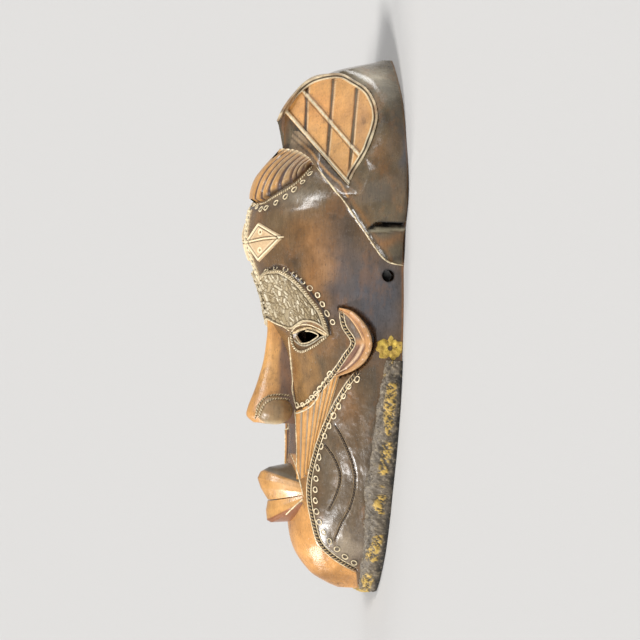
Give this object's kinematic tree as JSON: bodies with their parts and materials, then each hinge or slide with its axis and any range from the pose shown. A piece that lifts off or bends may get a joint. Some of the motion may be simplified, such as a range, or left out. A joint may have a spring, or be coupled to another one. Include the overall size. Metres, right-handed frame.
{
  "type": "tikar mask",
  "caption": "Hollow carved wooden face mask with lobed crown, long nose, projecting lips, ears and a rolled beard edge, lying on its flat rim.",
  "frame": {"origin": "on the rim plane, below the middle of the mask's box", "axes": "+X the mask's own left, +Y up the face from chin to crown, +Z out of the face"},
  "size_m": [0.1738, 0.3798, 0.1014],
  "materials": {
    "carved_wood": "dark stained and polished hardwood, worn to orange-brown on the raised carving"
  },
  "bodies": {
    "root": {"mask": "carved_wood"}
  },
  "joints": []
}
